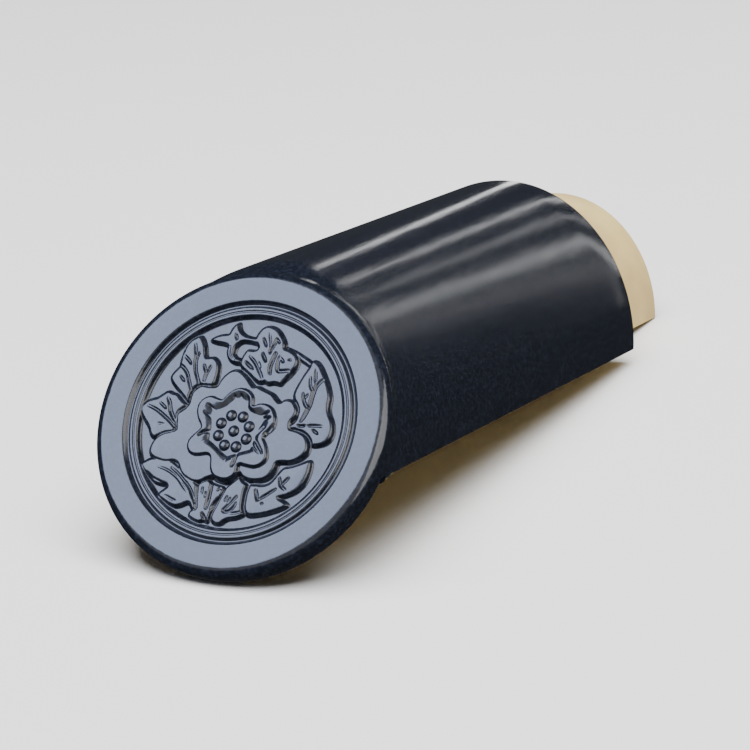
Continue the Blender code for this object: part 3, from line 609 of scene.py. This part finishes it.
def carved_face():
    """The carved part of the face as rings of points, with twice as many points further out."""
    plan = [(FIELD_JOIN, TURN)]
    radius = FIELD_RADIUS
    while radius > CENTRE_GAP:
        plan.append((radius, next(count for limit, count in GRID_ZONES if radius > limit)))
        radius -= RING_STEP if radius < FINE_RADIUS else FINE_STEP
    rings = []
    for radius, count in plan:
        turn = 2 * pi * np.arange(count) / count
        rings.append((radius * np.cos(turn), radius * np.sin(turn)))
    x = np.concatenate([r[0] for r in rings] + [np.zeros(1)])
    z = np.concatenate([r[1] for r in rings] + [np.zeros(1)])
    depth = face_depth(x, z)
    depth[:TURN] = 0.0
    faces, start = [], 0
    for (outer, _), (inner, _) in zip(rings, rings[1:]):
        n, m = len(outer), len(inner)
        after = start + n
        for i in range(min(n, m)):
            if n == m:
                faces.append((start + i, start + (i + 1) % n, after + (i + 1) % m, after + i))
            elif n > m:
                a, b, d = start + 2 * i, start + 2 * i + 1, start + (2 * i + 2) % n
                faces += [(a, b, after + i), (b, after + (i + 1) % m, after + i),
                          (b, d, after + (i + 1) % m)]
            else:
                a, b, d = after + 2 * i, after + 2 * i + 1, after + (2 * i + 2) % m
                faces += [(start + i, b, a), (start + i, start + (i + 1) % n, b),
                          (start + (i + 1) % n, d, b)]
        start = after
    last = len(rings[-1][0])
    faces += [(start + i, start + (i + 1) % last, start + last) for i in range(last)]
    return lie_down(disc_to_tile(x, depth, z)), faces


def evaluated_mesh(thing):
    """A plain mesh of an object with its modifiers applied."""
    bpy.context.view_layer.update()
    return bpy.data.meshes.new_from_object(
        thing.evaluated_get(bpy.context.evaluated_depsgraph_get()))


def cut_bore(skin, bore):
    """The skin with the hollow taken out of it."""
    body = bpy.data.objects.new("body", skin)
    tool = bpy.data.objects.new("tool", bore)
    for thing in (body, tool):
        bpy.context.scene.collection.objects.link(thing)
    cut = body.modifiers.new("bore", "BOOLEAN")
    cut.operation, cut.object, cut.solver = "DIFFERENCE", tool, "EXACT"
    mesh = evaluated_mesh(body)
    for thing in (body, tool):
        bpy.data.objects.remove(thing)
    return mesh


def disc_direction(x, depth, up):
    """A direction given in disc coordinates, as the tile lies."""
    return Vector(lie_down(disc_to_tile(x, depth, up)) - lie_down(disc_to_tile(0, 0, 0))).normalized()


def tile_mesh():
    """The whole tile as one closed mesh, with the carved face let into the skin."""
    body = cut_bore(loft(skin_rings()), loft(bore_rings()))
    bm = bmesh.new()
    bm.from_mesh(body)
    bpy.data.meshes.remove(body)
    bm.faces.ensure_lookup_table()
    face_normal = disc_direction(0.0, -1.0, 0.0)
    cap = max(bm.faces, key=lambda f: f.calc_area() * f.normal.dot(face_normal))
    bm.faces.remove(cap)
    points, faces = carved_face()
    verts = [bm.verts.new(p) for p in points]
    carved = bm.faces.layers.int.new("carved")
    for face in faces:
        made = bm.faces.new([verts[i] for i in face])
        made[carved] = 1
    bmesh.ops.remove_doubles(bm, verts=bm.verts, dist=WELD)
    bmesh.ops.recalc_face_normals(bm, faces=bm.faces)
    back = LYING_TURN.inverted()
    for face in bm.faces:
        face.smooth = True
        centre = back @ (face.calc_center_median() - LYING_SHIFT) / MM
        face.material_index = int(is_bare(centre, back @ face.normal) and not face[carved])
    for edge in bm.edges:
        sides = edge.link_faces
        if len(sides) == 2 and not (sides[0][carved] and sides[1][carved]):
            edge.smooth = sides[0].normal.angle(sides[1].normal, 0) < SHARP
    bmesh.ops.triangulate(bm, faces=[f for f in bm.faces if len(f.verts) > 4])
    mesh = bpy.data.meshes.new("glazed_tile")
    bm.to_mesh(mesh)
    bm.free()
    return mesh


BARE_MARGIN = 3.0               # faces this near the bore's wall count as part of it


def is_bare(centre, normal):
    """Whether a face is unglazed clay: the spigot, the hollow and the feet."""
    if centre.y > LENGTH - 0.6:
        return True
    behind = centre.y > centre.z * tan(LEAN) + DISC_THICKNESS / cos(LEAN)
    across = centre.x / (HALF_WIDTH - WALL + BARE_MARGIN)
    up = max(centre.z, 0) / (RISE - WALL + BARE_MARGIN)
    hollow = across ** 2 + up ** 2 < 1 and centre.z > -0.5
    foot = centre.z < 0.6 and normal.z < -0.7
    return behind and (hollow or foot)


# ---- materials ----

def linear(code):
    """An sRGB hex colour as linear RGBA."""
    values = [int(code[i:i + 2], 16) / 255 for i in (0, 2, 4)]
    return tuple(v / 12.92 if v <= 0.04045 else ((v + 0.055) / 1.055) ** 2.4 for v in values) + (1.0,)


def add(tree, kind, settings=None, **inputs):
    """Adds a node; inputs are values or other sockets, named as the node names them."""
    node = tree.nodes.new(kind)
    for key, value in (settings or {}).items():
        setattr(node, key, value)
    for key, value in inputs.items():
        socket = node.inputs[int(key[1:])] if key[0] == "_" else node.inputs[key.replace("_", " ")]
        if isinstance(value, bpy.types.NodeSocket):
            tree.links.new(value, socket)
        else:
            socket.default_value = value
    return node


def new_material(name):
    """An empty node material and its tree."""
    material = bpy.data.materials.new(name)
    material.use_nodes = True
    material.node_tree.nodes.clear()
    return material, material.node_tree


def finish_material(tree, shader):
    """Wires the shader to the material's output."""
    output = add(tree, "ShaderNodeOutputMaterial")
    tree.links.new(shader.outputs[0], output.inputs["Surface"])


def two_tone(tree, noise, dark, light):
    """Two colours blended by a noise; each is (where it sits in the noise, sRGB hex)."""
    tone = add(tree, "ShaderNodeValToRGB", Fac=noise.outputs["Fac"])
    for stop, (position, code) in zip(tone.color_ramp.elements, (dark, light)):
        stop.position, stop.color = position, linear(code)
    return tone.outputs["Color"]


def glaze_material(sizes):
    """Black iron glaze, sprayed and fired: satin, with a faint orange-peel and fine specks."""
    material, tree = new_material("satin_black_glaze")
    place = add(tree, "ShaderNodeTexCoord").outputs["Object"]
    # The spray dries as a grain of about 0.8 mm, which breaks the mirror into a satin sheen.
    grain = add(tree, "ShaderNodeTexNoise", Vector=place, Scale=1 / 0.0008, Detail=3.0, Roughness=0.6)
    # Iron specks of about 1.6 mm, a shade lighter than the black.
    specks = add(tree, "ShaderNodeTexNoise", Vector=place, Scale=1 / 0.0016, Detail=1.0)
    # The barrel is drawn lengthwise before glazing, which leaves ripples about 9 mm apart
    # that run the highlights out into long streaks.
    drawn = add(tree, "ShaderNodeMapping", Vector=place, Scale=(1.0, 0.06, 1.0))
    ripple = add(tree, "ShaderNodeTexNoise", Vector=drawn.outputs[0], Scale=1 / 0.009, Detail=2.0)
    # The glaze is thicker in places a few centimetres wide, and glossier there.
    patch = add(tree, "ShaderNodeTexNoise", Vector=place, Scale=1 / 0.04, Detail=2.0)
    tone = two_tone(tree, specks, (0.45, sizes.glaze_dark), (0.75, sizes.glaze_light))
    rough = add(tree, "ShaderNodeMapRange", Value=patch.outputs["Fac"], To_Min=0.12, To_Max=0.20)
    low = add(tree, "ShaderNodeBump", Strength=0.5, Distance=0.0004, Height=ripple.outputs["Fac"])
    fine = add(tree, "ShaderNodeBump", Strength=0.35, Distance=0.00006, Height=grain.outputs["Fac"],
               Normal=low.outputs["Normal"])
    shader = add(tree, "ShaderNodeBsdfPrincipled", Base_Color=tone,
                 Roughness=rough.outputs[0], IOR=1.4, Normal=fine.outputs["Normal"])
    finish_material(tree, shader)
    return material


def clay_material(sizes):
    """Bare fired clay, pressed and trimmed: buff, matt, with fine grog and browner patches."""
    material, tree = new_material("bare_buff_clay")
    place = add(tree, "ShaderNodeTexCoord").outputs["Object"]
    # The kiln browns it in patches about 30 mm wide.
    patch = add(tree, "ShaderNodeTexNoise", Vector=place, Scale=1 / 0.03, Detail=3.0)
    # Grog of about half a millimetre, drawn a little coarser so that it shows.
    grog = add(tree, "ShaderNodeTexNoise", Vector=place, Scale=1 / 0.0009, Detail=4.0)
    tone = two_tone(tree, patch, (0.3, sizes.clay_dark), (0.7, sizes.clay_light))
    bump = add(tree, "ShaderNodeBump", Strength=0.6, Distance=0.00012, Height=grog.outputs["Fac"])
    shader = add(tree, "ShaderNodeBsdfPrincipled", Base_Color=tone, Roughness=0.85,
                 IOR=1.5, Normal=bump.outputs["Normal"])
    finish_material(tree, shader)
    return material


def material_named(name, make, sizes):
    """The material of this name, made if it isn't there yet."""
    return bpy.data.materials.get(name) or make(sizes)


def new_piece(name, mesh):
    """A finished piece that belongs to the tile."""
    piece = bpy.data.objects.new(name, mesh)
    bpy.context.scene.collection.objects.link(piece)
    return piece


# ---- stamens ----

def stamen_tree():
    """Geometry Nodes: a ball at the centre and a ring of balls about it."""
    tree = bpy.data.node_groups.new("stamens", "GeometryNodeTree")
    face = tree.interface
    face.new_socket("Geometry", in_out="INPUT", socket_type="NodeSocketGeometry")
    face.new_socket("Ring Radius", in_out="INPUT", socket_type="NodeSocketFloat")
    face.new_socket("Ball Radius", in_out="INPUT", socket_type="NodeSocketFloat")
    face.new_socket("Count", in_out="INPUT", socket_type="NodeSocketInt")
    face.new_socket("Glaze", in_out="INPUT", socket_type="NodeSocketMaterial")
    face.new_socket("Geometry", in_out="OUTPUT", socket_type="NodeSocketGeometry")
    given = tree.nodes.new("NodeGroupInput").outputs
    step = add(tree, "ShaderNodeMath", {"operation": "DIVIDE"}, _0=pi, _1=given["Count"])
    turn = add(tree, "ShaderNodeCombineXYZ", Z=step.outputs[0])
    ring = add(tree, "GeometryNodeMeshCircle", Vertices=given["Count"], Radius=given["Ring Radius"])
    turned = add(tree, "GeometryNodeTransform", Geometry=ring.outputs[0], Rotation=turn.outputs[0])
    middle = add(tree, "GeometryNodeMeshLine", Count=1)
    both = add(tree, "GeometryNodeJoinGeometry")
    tree.links.new(turned.outputs[0], both.inputs[0])
    tree.links.new(middle.outputs[0], both.inputs[0])
    ball = add(tree, "GeometryNodeMeshUVSphere", Segments=28, Rings=16, Radius=given["Ball Radius"])
    smooth = add(tree, "GeometryNodeSetShadeSmooth", Geometry=ball.outputs[0])
    copies = add(tree, "GeometryNodeInstanceOnPoints", Points=both.outputs[0],
                 Instance=smooth.outputs[0])
    real = add(tree, "GeometryNodeRealizeInstances", Geometry=copies.outputs[0])
    glazed = add(tree, "GeometryNodeSetMaterial", Geometry=real.outputs[0], Material=given["Glaze"])
    out = tree.nodes.new("NodeGroupOutput")
    tree.links.new(glazed.outputs[0], out.inputs[0])
    return tree


def from_nodes(name, tree, values):
    """The plain mesh that a node tree gives for these inputs."""
    holder = new_piece(name, bpy.data.meshes.new(name))
    modifier = holder.modifiers.new(name, "NODES")
    modifier.node_group = tree
    sockets = {s.name: s.identifier for s in tree.interface.items_tree if s.in_out == "INPUT"}
    for key, value in values.items():
        modifier[sockets[key]] = value
    mesh = evaluated_mesh(holder)
    bpy.data.objects.remove(holder)
    return mesh


# ---- settings ----

class TileSettings(bpy.types.PropertyGroup):
    """Colours of the tile and sizes of its stamens"""
    glaze_dark: bpy.props.StringProperty(
        name="Glaze", description="Colour of the black glaze, sRGB hex", default="090b10")
    glaze_light: bpy.props.StringProperty(
        name="Glaze specks", description="Colour of the glaze's specks, sRGB hex", default="13161e")
    clay_light: bpy.props.StringProperty(
        name="Clay", description="Colour of the bare clay, sRGB hex", default="ad9861")
    clay_dark: bpy.props.StringProperty(
        name="Clay patches", description="Colour of the clay's browner patches, sRGB hex",
        default="978154")
    stamen_radius: bpy.props.FloatProperty(
        name="Stamen radius", description="Radius of each ball at the flower's centre",
        default=STAMEN_RADIUS * MM, min=0.0005, max=0.01, subtype="DISTANCE", unit="LENGTH")
    stamen_count: bpy.props.IntProperty(
        name="Stamens in the ring", description="Balls round the centre one",
        default=STAMEN_COUNT, min=3, max=24)


class StageSettings(bpy.types.PropertyGroup):
    """Floor and lights"""
    floor_colour: bpy.props.StringProperty(
        name="Floor", description="Colour of the floor, sRGB hex", default="f2f2f2")
    window_power: bpy.props.FloatProperty(
        name="Window power", description="Power of the large soft light that the face mirrors",
        default=47.0, min=0.0, unit="POWER")
    overhead_power: bpy.props.FloatProperty(
        name="Overhead power", description="Power of the soft light above the floor",
        default=175.0, min=0.0, unit="POWER")


# ---- operators ----

class TILE_OT_body(bpy.types.Operator):
    """Makes the glazed tile with its carved face"""
    bl_idname = "eave_tile.body"
    bl_label = "Glazed tile"

    def execute(self, context):
        settings = context.scene.eave_tile
        mesh = tile_mesh()
        mesh.materials.append(material_named("satin_black_glaze", glaze_material, settings))
        mesh.materials.append(material_named("bare_buff_clay", clay_material, settings))
        piece = new_piece("glazed_tile", mesh)
        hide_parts(NODE)
        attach(piece, "root")
        return {"FINISHED"}


class TILE_OT_stamens(bpy.types.Operator):
    """Makes the balls at the flower's centre"""
    bl_idname = "eave_tile.stamens"
    bl_label = "Stamens"

    def execute(self, context):
        settings = context.scene.eave_tile
        mesh = from_nodes("stamens", stamen_tree(), {
            "Ring Radius": STAMEN_RING * MM, "Ball Radius": settings.stamen_radius,
            "Count": settings.stamen_count,
            "Glaze": material_named("satin_black_glaze", glaze_material, settings)})
        origin = Vector(lie_down(disc_to_tile(
            FLOWER[0], FIELD_DEPTH - STAMEN_TOP + STAMEN_RADIUS * STAMEN_FLATNESS, FLOWER[1])))
        axes = [disc_direction(*way) for way in ((1, 0, 0), (0, 0, 1), (0, -1, 0))]
        turned = Matrix(axes).transposed().to_4x4() @ Matrix.Diagonal((1, 1, STAMEN_FLATNESS, 1))
        mesh.transform(Matrix.Translation(origin) @ turned)
        piece = new_piece("stamens", mesh)
        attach(piece, "root")
        return {"FINISHED"}


# ---- stage ----

FLOOR_HALF = 9.0
FACE = (0.0, -0.155, 0.060)     # the middle of the face
BARREL = (0.0, 0.0, 0.06)
WINDOW_COLOUR = (0.76, 0.91, 1.28)
# Lights: name, target, direction, distance, width, height (m), and power (W) unless a setting gives it.
FACE_WINDOW = ("face_window", FACE, (-0.443, -0.577, 0.688), 1.3, 1.15, 1.15)
OVERHEAD = ("overhead", (0, 0, 0), (0.1, -0.1, 1), 2.2, 2.6, 2.6)
MIRRORED = (
    # The side light catches the carving's right-hand walls, the surround fills the face.
    ("face_side", FACE, (0.83, -0.28, 0.48), 1.3, 1.4, 1.1, 34.0),
    ("face_surround", FACE, (-0.10, -0.75, 0.65), 2.0, 4.2, 4.2, 75.0),
    # Thin strips draw the lengthwise highlights on the barrel.
    ("streak_0", BARREL, (0.23, 0.92, 0.33), 1.5, 0.02, 1.2, 0.9),
    ("streak_1", BARREL, (0.06, 0.93, 0.36), 1.5, 0.015, 1.2, 0.35),
    ("streak_2", BARREL, (-0.10, 0.95, 0.25), 1.5, 0.03, 1.2, 0.6),
    ("streak_3", BARREL, (-0.33, 0.92, 0.18), 1.5, 0.03, 1.2, 0.5),
    ("streak_4", BARREL, (0.34, 0.90, 0.24), 1.5, 0.015, 1.2, 0.25),
)
WORLD_COLOUR = "dfe3ea"
WORLD_STRENGTH = 0.06
SENSOR = 36.0
LENS = 178.207
CAMERA = (
    (0.905164, -0.108362, 0.411018, 0.670882),
    (0.423398, 0.315327, -0.849295, -1.412269),
    (-0.037573, 0.942776, 0.331303, 0.575960),
    (0.0, 0.0, 0.0, 1.0),
)


def soft_box(name, target, direction, distance, width, height, power, seen):
    """An area light that faces the target; seen says whether glossy surfaces mirror it."""
    data = bpy.data.lights.new(name, "AREA")
    data.shape, data.size, data.size_y, data.energy = "RECTANGLE", width, height, power
    light = bpy.data.objects.new(name, data)
    way = Vector(direction).normalized()
    light.location = Vector(target) + way * distance
    light.rotation_euler = way.to_track_quat("Z", "Y").to_euler()
    light.visible_glossy = seen
    light.visible_camera = False
    bpy.context.scene.collection.objects.link(light)
    return light


class TILE_OT_stage(bpy.types.Operator):
    """Makes the pale floor, the soft lights and the camera"""
    bl_idname = "eave_tile.stage"
    bl_label = "Stage"

    def execute(self, context):
        settings = context.scene.eave_stage
        material, tree = new_material("matt_floor_paint")
        finish_material(tree, add(tree, "ShaderNodeBsdfPrincipled", Roughness=0.9,
                                  Base_Color=linear(settings.floor_colour)))
        mesh = bpy.data.meshes.new("floor")
        mesh.from_pydata([(x * FLOOR_HALF, y * FLOOR_HALF, 0) for x, y in
                          ((-1, -1), (1, -1), (1, 1), (-1, 1))], [], [(0, 1, 2, 3)])
        mesh.materials.append(material)
        floor = bpy.data.objects.new("floor", mesh)
        context.scene.collection.objects.link(floor)
        floor.visible_glossy = False    # the glaze mirrors a dim room, not the floor
        floor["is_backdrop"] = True

        # The lights that the glaze mirrors shine on the tile alone, so the floor stays even.
        pieces = bpy.data.collections.new("tile_pieces")
        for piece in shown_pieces():
            pieces.objects.link(piece)
        window = soft_box(*FACE_WINDOW, settings.window_power, True)
        window.data.color = WINDOW_COLOUR
        for light in [window] + [soft_box(*row, True) for row in MIRRORED]:
            light.light_linking.receiver_collection = pieces
        soft_box(*OVERHEAD, settings.overhead_power, False)

        world = bpy.data.worlds.new("studio")
        world.use_nodes = True
        context.scene.world = world
        background = world.node_tree.nodes["Background"]
        background.inputs["Color"].default_value = linear(WORLD_COLOUR)
        background.inputs["Strength"].default_value = WORLD_STRENGTH

        data = bpy.data.cameras.new("camera")
        data.sensor_width, data.lens = SENSOR, LENS
        camera = bpy.data.objects.new("camera", data)
        camera.matrix_world = Matrix(CAMERA)
        context.scene.collection.objects.link(camera)
        context.scene.camera = camera
        return {"FINISHED"}


class TILE_PT_panel(bpy.types.Panel):
    """Settings and operators of the eave tile"""
    bl_idname = "TILE_PT_panel"
    bl_label = "Eave tile"
    bl_space_type = "VIEW_3D"
    bl_region_type = "UI"
    bl_category = "Eave tile"

    def draw(self, context):
        for group in (context.scene.eave_tile, context.scene.eave_stage):
            for name in group.__annotations__:
                self.layout.prop(group, name)
        for operator in OPERATORS:
            self.layout.operator(operator.bl_idname)


OPERATORS = (TILE_OT_body, TILE_OT_stamens, TILE_OT_stage)
CLASSES = (TileSettings, StageSettings) + OPERATORS + (TILE_PT_panel,)


def register():
    """Adds the classes and the scene's settings"""
    for cls in CLASSES:
        bpy.utils.register_class(cls)
    bpy.types.Scene.eave_tile = bpy.props.PointerProperty(type=TileSettings)
    bpy.types.Scene.eave_stage = bpy.props.PointerProperty(type=StageSettings)


def unregister():
    """Takes them away again"""
    del bpy.types.Scene.eave_stage
    del bpy.types.Scene.eave_tile
    for cls in reversed(CLASSES):
        bpy.utils.unregister_class(cls)


def main():
    """Makes the tile and its stage"""
    register()
    bpy.ops.eave_tile.body()
    bpy.ops.eave_tile.stamens()
    bpy.ops.eave_tile.stage()


if __name__ == "__main__":
    main()
